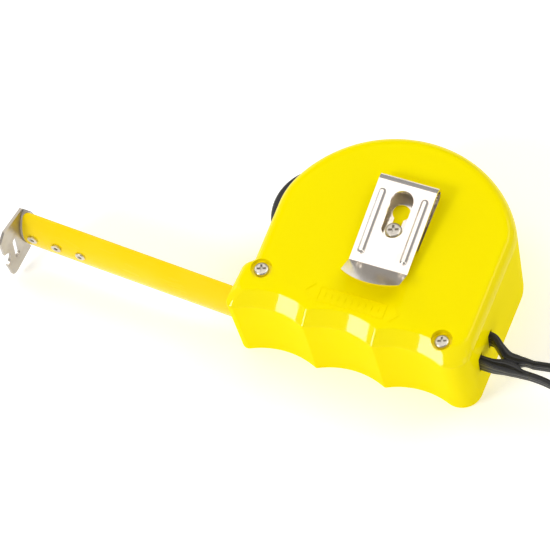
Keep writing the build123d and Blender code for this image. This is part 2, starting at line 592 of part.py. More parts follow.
# End hook: a curved tongue inside the blade's hollow side and a flange bent across its end
with BuildPart() as end_hook:
    half = BLADE_WIDTH / 2
    with BuildSketch(blade_plane(HOOK_BEND + TONGUE_ROOT)):
        blade_section(BLADE_RISE, BLADE_THICKNESS + RUNNING_CLEARANCE, HOOK_SHEET, half - 0.15)
    extrude(amount=-TONGUE_LENGTH - 1)
    with BuildSketch(blade_plan(-6)):
        with BuildLine():
            Polyline(
                (HOOK_BEND + TONGUE_ROOT, half + 0.1),
                (HOOK_BEND - 2.0, half - 0.3),
                (HOOK_BEND - 8.0, half - 3.9),
                (HOOK_BEND - TONGUE_LENGTH, half - 4.9),
                (HOOK_BEND - TONGUE_LENGTH, 4.9 - half),
                (HOOK_BEND - 8.0, 3.9 - half),
                (HOOK_BEND - 2.0, 0.3 - half),
                (HOOK_BEND + TONGUE_ROOT, -half - 0.1),
                close=True,
            )
        make_face()
        with Locations(*[(HOOK_BEND - back - HOOK_PLAY / 2, 0) for back in RIVET_BACKS]):
            SlotCenterToCenter(HOOK_PLAY, 2 * (RIVET_SHANK + RUNNING_CLEARANCE), mode=Mode.SUBTRACT)
    extrude(amount=14, mode=Mode.INTERSECT)
    bend = blade_plane(HOOK_BEND)
    flange_plane = Plane(
        origin=bend.origin,
        x_dir=(0, 0, 1),
        z_dir=bend.z_dir + bend.y_dir * HOOK_LEAN,
    )
    with BuildSketch(flange_plane):
        with BuildLine():
            ThreePointArc((half + 0.8, 0.1), (0.0, -1.6), (-half - 1.4, 0.2))
            Line((-half - 1.4, 0.2), (-half - 3.9, -7.2))
            ThreePointArc((-half - 3.9, -7.2), (-half - 3.4, -8.8), (-half - 1.7, -9.4))
            Line((-half - 1.7, -9.4), (-5.8, -10.4))
            ThreePointArc((-5.8, -10.4), (-3.9, -8.5), (0.4, -10.7))
            Line((0.4, -10.7), (half - 2.1, -11.2))
            Line((half - 2.1, -11.2), (half + 0.8, -8.7))
            Line((half + 0.8, -8.7), (half + 0.8, 0.1))
        make_face()
        with Locations((-2.6, -5.6)):
            SlotOverall(*NAIL_SLOT, mode=Mode.SUBTRACT)
    extrude(amount=HOOK_SHEET)
end_hook.part.label = "end_hook"
export_step(end_hook.part, "parts/end_hook.step")

# Three tubular rivets, heads on the blade's outer side and tails on the tongue
with BuildPart() as hook_rivets:
    head_plane = blade_plan(-BLADE_RISE - 0.03)
    spots = [(HOOK_BEND - back, 0) for back in RIVET_BACKS]
    with BuildSketch(head_plane):
        with Locations(*spots):
            Circle(RIVET_HEAD)
    extrude(amount=-RIVET_HEAD_HEIGHT)
    fillet(hook_rivets.edges().filter_by(GeomType.CIRCLE).group_by(Axis.Y)[0], RIVET_HEAD_ROUND)
    with BuildSketch(head_plane):
        with Locations(*spots):
            Circle(RIVET_SHANK)
    extrude(amount=1.4)
    with BuildSketch(blade_plan(-BLADE_RISE + BLADE_THICKNESS + HOOK_SHEET + 0.13)):
        with Locations(*spots):
            Circle(RIVET_TAIL)
    extrude(amount=RIVET_TAIL_HEIGHT)
    with BuildSketch(blade_plan(-BLADE_RISE - 0.6)):
        with Locations(*spots):
            Circle(RIVET_DIMPLE)
    extrude(amount=0.6, mode=Mode.SUBTRACT)
hook_rivets.part.label = "hook_rivets"
export_step(hook_rivets.part, "parts/hook_rivets.step")

# Lock button: a crescent that slides round the crown
with BuildPart() as lock_button:
    with BuildSketch(Plane.XY.offset(MID_Z - LOCK_HALF_WIDTH)):
        with BuildLine():
            inner_arc = CenterArc((0, 0), LOCK_INNER_RADIUS, LOCK_ANGLE - LOCK_HALF_SPAN, 2 * LOCK_HALF_SPAN)
            ends = [LOCK_ANGLE + s * LOCK_HALF_SPAN for s in (-1, 1)]
            rims = [Vector(LOCK_RIM_RADIUS, 0).rotate(Axis.Z, a) for a in ends]
            peak = Vector(LOCK_PEAK_RADIUS, 0).rotate(Axis.Z, LOCK_ANGLE)
            Line(inner_arc @ 0, rims[0])
            ThreePointArc(rims[0], peak, rims[1])
            Line(rims[1], inner_arc @ 1)
        make_face()
    extrude(amount=2 * LOCK_HALF_WIDTH)
    rim_edges = lock_button.faces().filter_by(Axis.Z).edges().filter_by(GeomType.CIRCLE)
    fillet(rim_edges.group_by(SortBy.RADIUS)[0], LOCK_EDGE_ROUND)
    with BuildSketch(Plane.XY.offset(MID_Z)):
        with BuildLine():
            stem_start = LOCK_ANGLE - STEM_HALF_SPAN
            stem_out = CenterArc((0, 0), LOCK_INNER_RADIUS + 0.5, stem_start, 2 * STEM_HALF_SPAN)
            stem_in = CenterArc((0, 0), ARM_RADIUS + 0.1, stem_start, 2 * STEM_HALF_SPAN)
            Line(stem_out @ 0, stem_in @ 0)
            Line(stem_out @ 1, stem_in @ 1)
        make_face()
    extrude(amount=STEM_HALF_WIDTH, both=True)
lock_button.part.label = "lock_button"
export_step(lock_button.part, "parts/lock_button.step")

# Lock arm: runs down inside the front wall, from the button's stem to just above the blade
with BuildPart() as lock_arm:
    with BuildSketch(Plane.XY.offset(MID_Z)):
        with BuildLine():
            arm_sweep = PAD_END - PAD_SPAN - 0.1 - ARM_START
            arm_out = CenterArc((0, 0), ARM_RADIUS, ARM_START, arm_sweep)
            arm_in = CenterArc((0, 0), ARM_RADIUS - ARM_THICKNESS, ARM_START, arm_sweep)
            Line(arm_out @ 0, arm_in @ 0)
            Line(arm_out @ 1, arm_in @ 1)
        make_face()
    extrude(amount=ARM_HALF_WIDTH, both=True)
lock_arm.part.label = "lock_arm"
export_step(lock_arm.part, "parts/lock_arm.step")

# Lock pad: the rubber tip that pinches the blade in the mouth
with BuildPart() as lock_pad:
    with BuildSketch(Plane.XY.offset(MID_Z)):
        with BuildLine():
            pad_out = CenterArc((0, 0), ARM_RADIUS, PAD_END - PAD_SPAN, PAD_SPAN)
            pad_in = CenterArc((0, 0), ARM_RADIUS - PAD_THICKNESS, PAD_END - PAD_SPAN, PAD_SPAN)
            Line(pad_out @ 0, pad_in @ 0)
            Line(pad_out @ 1, pad_in @ 1)
        make_face()
    extrude(amount=PAD_HALF_WIDTH, both=True)
lock_pad.part.label = "lock_pad"
export_step(lock_pad.part, "parts/lock_pad.step")

# Belt clip: one strip folded at the top, its free leaf pressed with two ribs and flared at the lip
with BuildPart() as belt_clip:
    leaf_z = CASE_DEPTH + CLIP_SHEET / 2 + 0.01
    top_z = leaf_z + 2 * CLIP_FOLD_RADIUS
    free_z = CASE_DEPTH + CLIP_FREE_LIFT
    with BuildSketch(Plane(origin=(-CLIP_WIDTH / 2, 0, 0), x_dir=(0, 1, 0), z_dir=(1, 0, 0))):
        with BuildLine():
            Line((CLIP_FOOT_Y, leaf_z), (CLIP_FOLD_Y, leaf_z))
            ThreePointArc(
                (CLIP_FOLD_Y, leaf_z),
                (CLIP_FOLD_Y + CLIP_FOLD_RADIUS, leaf_z + CLIP_FOLD_RADIUS),
                (CLIP_FOLD_Y, top_z),
            )
            Line((CLIP_FOLD_Y, top_z), (CLIP_FREE_Y, free_z))
            Line((CLIP_FREE_Y, free_z), (CLIP_LIP_Y, CASE_DEPTH + CLIP_LIP_LIFT))
        trace(line_width=CLIP_SHEET)
    extrude(amount=CLIP_WIDTH)
    # Curved lip edge
    with BuildSketch(Plane.XY.offset(CASE_DEPTH)):
        with BuildLine():
            edge = CLIP_WIDTH / 2 + 0.3
            left, right = (-edge, CLIP_LIP_CORNER_Y), (edge, CLIP_LIP_CORNER_Y)
            ThreePointArc(left, (0, CLIP_LIP_MIDDLE_Y), right)
            Polyline(right, (edge, CLIP_LIP_Y - 3.2), (-edge, CLIP_LIP_Y - 3.2), left)
        make_face()
    extrude(amount=12, mode=Mode.SUBTRACT)
    # Ribs along the free leaf
    slope = math.atan2(top_z - free_z, CLIP_FOLD_Y - CLIP_FREE_Y)
    leaf_plane = Plane(
        origin=(0, (CLIP_FOLD_Y + CLIP_FREE_Y) / 2, (top_z + free_z) / 2),
        x_dir=(0, math.cos(slope), math.sin(slope)),
        z_dir=(0, -math.sin(slope), math.cos(slope)),
    )
    with BuildSketch(leaf_plane):
        with Locations((0, RIB_SPREAD), (0, -RIB_SPREAD)):
            SlotOverall(*RIB_SIZE)
    extrude(amount=CLIP_SHEET / 2 + RIB_RISE, taper=12)
    with BuildSketch(leaf_plane.offset(CLIP_SHEET / 2 + RIB_RISE - 0.01)):
        with Locations((0, RIB_SPREAD), (0, -RIB_SPREAD)):
            SlotOverall(RIB_SIZE[0] - 0.4, RIB_SIZE[1] - 0.4)
    extrude(amount=0.5, taper=50)
    # Obround window in the free leaf, keyhole in the fixed one
    with BuildSketch(Plane.XY.offset(CASE_DEPTH + 1.1)):
        with Locations((0, WINDOW_Y)):
            SlotOverall(*WINDOW_SIZE, rotation=90)
    extrude(amount=8, mode=Mode.SUBTRACT)
    with BuildSketch(Plane.XY.offset(CASE_DEPTH)):
        with Locations((0, KEYHOLE_Y)):
            Circle(KEYHOLE_RADIUS)
        with Locations((0, (KEYHOLE_Y + SPINDLE_Y) / 2)):
            Rectangle(KEYHOLE_WIDTH, KEYHOLE_Y - SPINDLE_Y)
        with Locations((0, SPINDLE_Y)):
            Circle(CLIP_SHANK_RADIUS + RUNNING_CLEARANCE)
    extrude(amount=CLIP_SHEET + THROUGH, mode=Mode.SUBTRACT)
belt_clip.part.label = "belt_clip"
export_step(belt_clip.part, "parts/belt_clip.step")


def screw(x, y, seat_z, head_radius, head_height, shank_radius, length):
    """A pan-head cross-recess screw, pointing down -Z, as one part."""
    with BuildPart() as made:
        with BuildSketch(Plane.XY.offset(seat_z)):
            with Locations((x, y)):
                Circle(head_radius)
        extrude(amount=head_height)
        fillet(made.edges().group_by(Axis.Z)[-1], head_height * 0.55)
        with BuildSketch(Plane.XY.offset(seat_z)):
            with Locations((x, y)):
                Circle(shank_radius)
        extrude(amount=-length)
        chamfer(made.edges().group_by(Axis.Z)[0], shank_radius * 0.5)
        with BuildSketch(Plane.XY.offset(seat_z + head_height)):
            with Locations((x, y)):
                Rectangle(head_radius * 1.2, head_radius * 0.28, rotation=20)
                Rectangle(head_radius * 0.28, head_radius * 1.2, rotation=20)
        extrude(amount=-head_height * 0.7, mode=Mode.SUBTRACT)
    return made.part


with BuildPart() as clip_screw:
    seat_z = CASE_DEPTH + CLIP_SHEET + 0.03
    add(screw(0, SPINDLE_Y, seat_z, CLIP_HEAD_RADIUS, CLIP_HEAD_HEIGHT, CLIP_SHANK_RADIUS, CLIP_SCREW_LENGTH))
clip_screw.part.label = "clip_screw"
export_step(clip_screw.part, "parts/clip_screw.step")

with BuildPart() as case_screws:
    for x, y, sink in CASE_SCREWS:
        seat_z = CASE_DEPTH - sink + 0.01
        add(screw(x, y, seat_z, CASE_HEAD_RADIUS, CASE_HEAD_HEIGHT, CASE_SHANK_RADIUS, CASE_SCREW_LENGTH))
case_screws.part.label = "case_screws"
export_step(case_screws.part, "parts/case_screws.step")

# Wrist strap: two legs through the rear wall, a bar behind it, and the neck that the loop grows from
with BuildPart() as wrist_strap:
    upper, lower = STRAP_LEG_YS
    half = STRAP_LEG_THICKNESS / 2
    inside = STRAP_INSIDE_X
    bar = inside - STRAP_BAR
    neck_top, neck_low = NECK_YS
    with BuildSketch(Plane.XY.offset(MID_Z - STRAP_LEG_HEIGHT / 2)):
        with BuildLine():
            Polyline((REAR_X + 1.5, upper + half), (bar, upper + half), (bar, lower - half))
            Line((bar, lower - half), (REAR_X + 1.5, lower - half))
            Spline(
                (REAR_X + 1.5, lower - half),
                (REAR_X + 6.3, neck_low),
                (NECK_X, neck_low),
                tangents=((1, 0), (1, 0)),
            )
            Line((NECK_X, neck_low), (NECK_X, neck_top))
            Spline(
                (NECK_X, neck_top),
                (REAR_X + 6.5, neck_top + 0.3),
                (REAR_X + 1.5, upper + half),
                tangents=((-1, 0), (-1, 0.1)),
            )
        make_face()
        with BuildLine():
            Line((inside, upper - half), (REAR_X + 1.2, upper - half))
            Spline(
                (REAR_X + 1.2, upper - half),
                (REAR_X + 4.4, -14.9),
                (REAR_X + 1.2, lower + half),
                tangents=((1, -0.2), (-1, 0)),
            )
            Line((REAR_X + 1.2, lower + half), (inside, lower + half))
            Line((inside, lower + half), (inside, upper - half))
        make_face(mode=Mode.SUBTRACT)
    extrude(amount=STRAP_LEG_HEIGHT)
wrist_strap.part.label = "wrist_strap"
export_step(wrist_strap.part, "parts/wrist_strap.step")


def tangent_radii(points):
    """Each corner's radius: 0.45 of its shorter run over the tangent of half its turn."""
    radii = []
    for before, corner, after in zip(points, points[1:], points[2:]):
        a = Vector(corner) - Vector(before)
        b = Vector(after) - Vector(corner)
        turn = math.radians(a.get_angle(b))
        radii.append(0.45 * min(a.length, b.length) / math.tan(turn / 2))
    return radii


# Wrist loop: one limp cord from the neck round and back to it
with BuildPart() as strap_loop:
    radii = tangent_radii(CORD_ROUTE)
    print("strap_loop radii", [round(r, 1) for r in radii])
    with BuildLine() as route:
        FilletPolyline(*CORD_ROUTE, radius=radii)
    print("strap_loop length", round(route.wire().length, 1))
    with BuildSketch(Plane(origin=route.wire() @ 0, z_dir=route.wire() % 0)):
        Circle(CORD_DIAMETER / 2)
    sweep()
strap_loop.part.label = "strap_loop"
export_step(strap_loop.part, "parts/strap_loop.step")
print("strap_loop volume", round(strap_loop.part.volume, 1))
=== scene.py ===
"""Looks of a pocket tape measure: finishes, the blade with its printed divisions, the strap and a studio."""

import json
import logging
import math
from dataclasses import dataclass, field
from enum import Enum
from typing import Optional, Sequence

import bmesh
import bpy
import numpy as np
from mathutils import Matrix, Vector


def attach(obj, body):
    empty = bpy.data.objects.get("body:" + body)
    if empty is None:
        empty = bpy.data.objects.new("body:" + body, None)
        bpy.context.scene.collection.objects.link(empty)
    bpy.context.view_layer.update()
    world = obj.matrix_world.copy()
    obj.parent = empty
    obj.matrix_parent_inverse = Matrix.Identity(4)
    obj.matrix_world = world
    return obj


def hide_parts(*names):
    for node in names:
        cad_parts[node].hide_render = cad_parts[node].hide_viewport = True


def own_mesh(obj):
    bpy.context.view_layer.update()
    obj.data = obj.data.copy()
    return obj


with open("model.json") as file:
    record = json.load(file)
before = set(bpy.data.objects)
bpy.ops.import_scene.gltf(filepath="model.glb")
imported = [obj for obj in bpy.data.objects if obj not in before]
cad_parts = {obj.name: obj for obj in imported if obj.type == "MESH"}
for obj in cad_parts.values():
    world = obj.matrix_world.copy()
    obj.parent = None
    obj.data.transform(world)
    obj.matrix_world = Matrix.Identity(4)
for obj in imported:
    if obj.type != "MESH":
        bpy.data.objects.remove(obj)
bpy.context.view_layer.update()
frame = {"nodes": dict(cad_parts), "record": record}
LOG = logging.getLogger("tape_measure")
MM = 0.001
AIM = (0.0, 0.0, 0.02)  # what the lights point at, in metres
MM_PER_METRE = 1000.0
CHART_LENGTH = 100.0  # millimetres of blade that one unit of u stands for


# --------------------------------------------------------------------------------------------------
# Shader maths
# --------------------------------------------------------------------------------------------------


class Socket:
    """A shader value: arithmetic on it adds Math nodes to its material."""

    def __init__(self, tree: "Tree", socket: bpy.types.NodeSocket) -> None:
        """Wrap one output socket.

        Args:
            tree: The tree that the socket's node is in.
            socket: The output socket.
        """
        self.tree = tree
        self.socket = socket

    def _math(self, operation: str, *others: object, swap: bool = False) -> "Socket":
        """Add one Math node.

        Args:
            operation: The Math node's operation.
            *others: The values or sockets after this one.
            swap: Whether the other value comes first.

        Returns:
            The node's output.
        """
        values = [self, *others]
        if swap:
            values.reverse()
        return self.tree.node("ShaderNodeMath", {"operation": operation}, dict(enumerate(values)))

    def __add__(self, other: object) -> "Socket":
        """Add."""
        return self._math("ADD", other)

    def __sub__(self, other: object) -> "Socket":
        """Take away."""
        return self._math("SUBTRACT", other)

    def __mul__(self, other: object) -> "Socket":
        """Multiply."""
        return self._math("MULTIPLY", other)

    def __mod__(self, other: object) -> "Socket":
        """Remainder, never negative."""
        return self._math("FLOORED_MODULO", other)

    def __lt__(self, other: object) -> "Socket":
        """One where this is less than the other."""
        return self._math("LESS_THAN", other)

    def __gt__(self, other: object) -> "Socket":
        """One where this is more than the other."""
        return self._math("GREATER_THAN", other)

    def __abs__(self) -> "Socket":
        """Size without its sign."""
        return self._math("ABSOLUTE")

    def __radd__(self, other: object) -> "Socket":
        """Add to a number."""
        return self._math("ADD", other, swap=True)

    def __rsub__(self, other: object) -> "Socket":
        """Take away from a number."""
        return self._math("SUBTRACT", other, swap=True)

    def __rmul__(self, other: object) -> "Socket":
        """Multiply a number."""
        return self._math("MULTIPLY", other, swap=True)

    def __rmod__(self, other: object) -> "Socket":
        """Remainder of a number over this."""
        return self._math("FLOORED_MODULO", other, swap=True)

    def both(self, other: object) -> "Socket":
        """The lesser of two masks, so one where both are."""
        return self._math("MINIMUM", other)

    def ramp(self, low: float, high: float) -> "Socket":
        """Smooth step from 0 at low to 1 at high.

        Args:
            low: The value that gives 0.
            high: The value that gives 1.

        Returns:
            The stepped value.
        """
        inputs = {"Value": self, "From Min": low, "From Max": high}
        return self.tree.node("ShaderNodeMapRange", {"interpolation_type": "SMOOTHSTEP"}, inputs)

    def wave(self, period: float) -> "Socket":
        """Sine of this value with the given period, from -1 to 1."""
        return (self * (2 * math.pi / period))._math("SINE")


class Tree:
    """One material's nodes, with a Principled shader ready to be driven."""

    def __init__(self, name: str) -> None:
        """Make a material with a Principled shader.

        Args:
            name: The material's name.
        """
        self.material = bpy.data.materials.new(name)
        self.material.use_nodes = True
        self.nodes = self.material.node_tree.nodes
        self.links = self.material.node_tree.links
        self.shader = self.nodes["Principled BSDF"]

    def node(
        self, kind: str, settings: Optional[dict] = None, inputs: Optional[dict] = None, out: int = 0
    ) -> Socket:
        """Add any node.

        Args:
            kind: The node's type.
            settings: Its own properties, set first.
            inputs: Values or Sockets, keyed by the input's name or index.
            out: Which output to return.

        Returns:
            That output.
        """
        made = self.nodes.new(kind)
        for key, value in (settings or {}).items():
            setattr(made, key, value)
        for key, value in (inputs or {}).items():
            self.feed(made.inputs[key], value)
        return Socket(self, made.outputs[out])

    def feed(self, target: bpy.types.NodeSocket, value: object) -> None:
        """Link a Socket to an input, or set the input to a value.

        Args:
            target: The input.
            value: The Socket, or the value.
        """
        if isinstance(value, Socket):
            self.links.new(value.socket, target)
        else:
            target.default_value = value

    def height(self) -> Socket:
        """Object height in millimetres."""
        coordinates = self.node("ShaderNodeTexCoord", out=3)
        return self.node("ShaderNodeSeparateXYZ", inputs={0: coordinates}, out=2) * MM_PER_METRE

    def chart(self) -> tuple[Socket, Socket]:
        """The piece's own UV map.

        Returns:
            u and v.
        """
        coordinates = self.node("ShaderNodeTexCoord", out=2)
        split = self.node("ShaderNodeSeparateXYZ", inputs={0: coordinates})
        parts = split.socket.node.outputs
        return Socket(self, parts[0]), Socket(self, parts[1])

    def noise(self, scale: float, detail: float = 2.0, stretch: Sequence[float] = (1.0, 1.0, 1.0)) -> Socket:
        """Noise on Object coordinates.

        Args:
            scale: Cells per metre.
            detail: Octaves.
            stretch: Scale along each axis.

        Returns:
            The noise, about 0 to 1.
        """
        coordinates = self.node("ShaderNodeTexCoord", out=3)
        placed = self.node("ShaderNodeMapping", inputs={"Vector": coordinates, "Scale": tuple(stretch)})
        return self.node("ShaderNodeTexNoise", inputs={"Vector": placed, "Scale": scale, "Detail": detail})

    def mix(self, share: object, a: object, b: object) -> Socket:
        """Blend two colours.

        Args:
            share: 0 for the first, 1 for the second.
            a: The first colour.
            b: The second colour.

        Returns:
            The blended colour.
        """
        return self.node("ShaderNodeMix", {"data_type": "RGBA"}, {0: share, 6: a, 7: b}, out=2)

    def bump(self, height: Socket, depth: float) -> None:
        """Feed the shader's Normal from a height.

        Args:
            height: The height field.
            depth: What a height of one stands for, in metres.
        """
        bumped = self.node("ShaderNodeBump", inputs={"Height": height, "Distance": depth})
        self.feed(self.shader.inputs["Normal"], bumped)

    def set(self, **values: object) -> None:
        """Set the shader's inputs, named with underscores for spaces."""
        for name, value in values.items():
            self.feed(self.shader.inputs[name.replace("_", " ")], value)


# --------------------------------------------------------------------------------------------------
# Finishes
# --------------------------------------------------------------------------------------------------

RGBA = tuple[float, float, float, float]
BLADE_YELLOW: RGBA = (0.97, 0.69, 0.0, 1.0)
INK_BLACK: RGBA = (0.012, 0.012, 0.014, 1.0)
WHITE: RGBA = (1.0, 1.0, 1.0, 1.0)


@dataclass(frozen=True)
class Moulding:
    """Moulded plastic: faint colour drift, fine scuffs in the gloss, a very fine surface grain and, where
    set, painted light from the piece emitting its own colour.

    Where there is polish, the walls and the back are duller from handling, and the rounded shoulder between
    the two heights keeps its full gloss. Heights, fades and the grain's depth are in millimetres, and a
    scale is in cells per metre.
    """

    name: str
    colour: RGBA
    deep: RGBA
    roughness: float
    coat: float = 0.0
    grain: float = 0.004
    grain_scale: float = 1800.0
    painted_glow: float = 0.0
    shine: float = 0.5
    polish: float = 0.0
    shoulder: tuple[float, float] = (29.3, 32.3)
    foot_fade: float = 0.3
    rim_fade: float = 0.15
    coat_roughness: float = 0.06
    drift_scale: float = 28.0
    drift_share: float = 0.35
    scuff_scale: float = 420.0
    scuff_roughness: float = 0.06

    def material(self) -> bpy.types.Material:
        """Build the material.

        Returns:
            The material.
        """
        tree = Tree(self.name)
        drift = tree.noise(self.drift_scale, 3.0).ramp(0.35, 0.7)
        scuff = tree.noise(self.scuff_scale, 4.0, (1.0, 0.25, 1.0)).ramp(0.5, 0.75)
        low, high = self.shoulder
        above = tree.height().ramp(low - self.foot_fade, low + self.foot_fade)
        below = tree.height().ramp(high + self.rim_fade, high - self.rim_fade)
        gloss = above.both(below)
        tree.set(
            Base_Color=tree.mix(drift * self.drift_share, self.colour, self.deep),
            Roughness=self.roughness + scuff * self.scuff_roughness,
            Coat_Weight=self.coat + gloss * self.polish,
            Coat_Roughness=self.coat_roughness,
            Specular_IOR_Level=self.shine,
        )
        # Painted light: the piece gives off its own colour, which brightens it evenly though it is no lamp.
        if self.painted_glow:
            tree.set(Emission_Color=self.colour, Emission_Strength=self.painted_glow)
        tree.bump(tree.noise(self.grain_scale), self.grain * MM)
        return tree.material


@dataclass(frozen=True)
class Metal:
    """Plated or bare metal, brushed along one axis, with small pits and handling marks.

    The scratches' depth is in millimetres, and a scale is in cells per metre.
    """

    name: str
    colour: RGBA
    shade: RGBA
    roughness: float
    stretch: tuple[float, float, float] = (1.0, 0.06, 1.0)
    scratch: float = 0.002
    brush_scale: float = 2600.0
    brush_roughness: float = 0.07
    mark_scale: float = 160.0
    mark_share: float = 0.5
    mark_roughness: float = 0.06

    def material(self) -> bpy.types.Material:
        """Build the material.

        Returns:
            The material.
        """
        tree = Tree(self.name)
        brushed = tree.noise(self.brush_scale, 3.0, self.stretch)
        marks = tree.noise(self.mark_scale, 4.0).ramp(0.45, 0.75)
        tree.set(
            Base_Color=tree.mix(marks * self.mark_share, self.colour, self.shade),
            Metallic=1.0,
            Roughness=self.roughness + brushed * self.brush_roughness + marks * self.mark_roughness,
        )
        tree.bump(brushed, self.scratch * MM)
        return tree.material


class Ink(Enum):
    """Which face of the blade a lacquer is for."""

    PLAIN = "plain"
    PRINTED = "printed"


@dataclass(frozen=True)
class BladeLacquer:
    """Yellow lacquered spring steel; the printed face carries black divisions along both edges, and the plain
    face has a painted highlight along its lower edge.

    Each division is the spacing of its lines and their width, in millimetres, and how far from the blade's
    middle they begin, as a share of its width. The scales are in cells per metre.
    """

    name: str
    ink: Ink
    colour: RGBA = BLADE_YELLOW
    pale: RGBA = (0.97, 0.75, 0.03, 1.0)
    black: RGBA = INK_BLACK
    divisions: tuple[tuple[float, float, float], ...] = (
        (1.0, 0.16, 0.34),
        (5.0, 0.18, 0.26),
        (10.0, 0.22, 0.16),
    )
    roughness: float = 0.24
    shine: float = 0.07
    # painted light: how strongly the blade emits its own colour
    painted_glow: float = 0.06
    grain: float = 0.002
    grain_scale: float = 1500.0
    drift_scale: float = 60.0
    drift_share: float = 0.4
    # painted highlight on the plain face: its width as a share of the blade's width from the lower edge, and
    # its strength
    highlight_width: float = 0.2
    highlight_share: float = 0.7
    scuff_scale: float = 500.0
    scuff_roughness: float = 0.08

    def _division(self, along: Socket, step: float, line: float) -> Socket:
        """A mask of lines across the blade.

        Args:
            along: Distance along the blade in millimetres.
            step: Their spacing.
            line: Their width.

        Returns:
            One on the lines.
        """
        offset = (along + step / 2) % step
        return abs(offset - step / 2) < line / 2

    def material(self) -> bpy.types.Material:
        """Build the material, whose u runs along the blade and whose v is 0 to 1 across it.

        Returns:
            The material.
        """
        tree = Tree(self.name)
        u, v = tree.chart()
        along = u * CHART_LENGTH
        drift = tree.noise(self.drift_scale, 3.0).ramp(0.3, 0.7)
        base = tree.mix(drift * self.drift_share, self.colour, self.pale)
        if self.ink is Ink.PRINTED:
            for step, line, start in self.divisions:
                ink = self._division(along, step, line).both(abs(v - 0.5) > start)
                base = tree.mix(ink, base, self.black)
        else:
            # Painted highlight: the plain face is mixed towards the pale yellow near its lower edge.
            base = tree.mix(v.ramp(self.highlight_width, 0.0) * self.highlight_share, base, self.pale)
        scuff = tree.noise(self.scuff_scale, 3.0, (0.2, 1.0, 1.0)).ramp(0.5, 0.8)
        tree.set(
            Base_Color=base,
            Roughness=self.roughness + scuff * self.scuff_roughness,
            Specular_IOR_Level=self.shine,
            # Painted light: the blade gives off its own colour, which brightens it evenly.
            Emission_Color=base,
            Emission_Strength=self.painted_glow,
        )
        tree.bump(tree.noise(self.grain_scale), self.grain * MM)
        return tree.material


@dataclass(frozen=True)
class StrapPlastic:
    """Flexible dark plastic with fine moulded lines that follow the strap."""

    name: str
    colour: RGBA = (0.012, 0.012, 0.014, 1.0)
    worn: RGBA = (0.045, 0.045, 0.05, 1.0)
    roughness: float = 0.38
    line_count: float = 22.0
    line_depth: float = 0.12 * MM
    line_share: float = 0.35
    wear_scale: float = 90.0
    wear_share: float = 0.3
    wear_roughness: float = 0.1

    def material(self) -> bpy.types.Material:
        """Build the material.

        Returns:
            The material.
        """
        tree = Tree(self.name)
        _, across = tree.chart()
        lines = across.wave(1.0 / self.line_count) * 0.5 + 0.5
        wear = tree.noise(self.wear_scale, 3.0).ramp(0.4, 0.7)
        tree.set(
            Base_Color=tree.mix(lines * self.line_share + wear * self.wear_share, self.colour, self.worn),
            Roughness=self.roughness + wear * self.wear_roughness,
        )
        tree.bump(lines, self.line_depth)
        return tree.material


CASE_YELLOW = Moulding(
    "case_yellow",
    (0.99, 0.83, 0.0, 1.0),
    (0.98, 0.79, 0.0, 1.0),
    0.2,
    coat=0.06,
    grain=0.002,
    # painted light: the case emits a little of its own yellow
    painted_glow=0.04,
    shine=0.0,
    polish=0.5,
)
LOCK_GREY = Moulding("lock_grey", (0.018, 0.018, 0.021, 1.0), (0.03, 0.03, 0.034, 1.0), 0.36, grain=0.03)
INNER_BLACK = Moulding("inner_black", (0.02, 0.02, 0.022, 1.0), (0.035, 0.035, 0.035, 1.0), 0.45, grain=0.02)
PAD_RUBBER = Moulding("pad_rubber", (0.012, 0.012, 0.012, 1.0), (0.03, 0.03, 0.03, 1.0), 0.8, grain=0.05)
LABEL_FILM = Moulding("label_film", (0.78, 0.78, 0.76, 1.0), (0.7, 0.7, 0.68, 1.0), 0.35, grain=0.003)
NICKEL = Metal("nickel", (0.88, 0.83, 0.77, 1.0), (0.76, 0.70, 0.62, 1.0), 0.15)
SCREW_NICKEL = Metal("screw_nickel", (0.70, 0.66, 0.59, 1.0), (0.44, 0.40, 0.34, 1.0), 0.24, (1.0, 1.0, 1.0))
HOOK_STEEL = Metal("hook_steel", (0.50, 0.46, 0.40, 1.0), (0.34, 0.29, 0.24, 1.0), 0.26, (1.0, 1.0, 0.08))
WOUND_BLADE = Moulding("blade_wound", BLADE_YELLOW, INK_BLACK, 0.35, grain=0.02)
SPRING_STEEL = Metal("spring_steel", (0.33, 0.35, 0.42, 1.0), (0.2, 0.2, 0.24, 1.0), 0.3, (1.0, 1.0, 0.1))


# --------------------------------------------------------------------------------------------------
# Meshes
# --------------------------------------------------------------------------------------------------


def grid_faces(rows: int, columns: int, wrap: bool, caps: bool = False) -> list[tuple[int, ...]]:
    """Quads of a grid whose points are numbered row by row.

    Args:
        rows: Points in the first direction.
        columns: Points in the second direction.
        wrap: Whether the last column joins the first.
        caps: Whether the first and last rows are closed with one face each.

    Returns:
        The faces.
    """
    row, column = np.meshgrid(np.arange(rows - 1), np.arange(columns if wrap else columns - 1), indexing="ij")
    following = (column + 1) % columns
    a = row * columns + column
    b = row * columns + following
    quads = np.stack([a, b, b + columns, a + columns], axis=-1).reshape(-1, 4)
    faces = [tuple(int(i) for i in quad) for quad in quads]
    if caps:
        faces.append(tuple(range(columns - 1, -1, -1)))
        faces.append(tuple(range((rows - 1) * columns, rows * columns)))
    return faces


def mesh_piece(
    name: str, points: np.ndarray, faces: Sequence[tuple[int, ...]], charts: Optional[np.ndarray] = None
) -> bpy.types.Object:
    """A smooth-shaded object from points and faces.

    Args:
        name: The object's name.
        points: Points in metres, in an array whose last axis is x, y, z.
        faces: The faces, by point number.
        charts: A u and v for each point, where the piece has a UV map.

    Returns:
        The object, linked to the scene.
    """
    mesh = bpy.data.meshes.new(name)
    mesh.from_pydata(points.reshape(-1, 3).tolist(), [], faces)
    mesh.shade_smooth()
    if charts is not None:
        corners = np.empty(len(mesh.loops), dtype=np.int32)
        mesh.loops.foreach_get("vertex_index", corners)
        layer = mesh.uv_layers.new(name="along")
        layer.data.foreach_set("uv", charts.reshape(-1, 2)[corners].ravel())
    made = bpy.data.objects.new(name, mesh)
    bpy.context.scene.collection.objects.link(made)
    return made


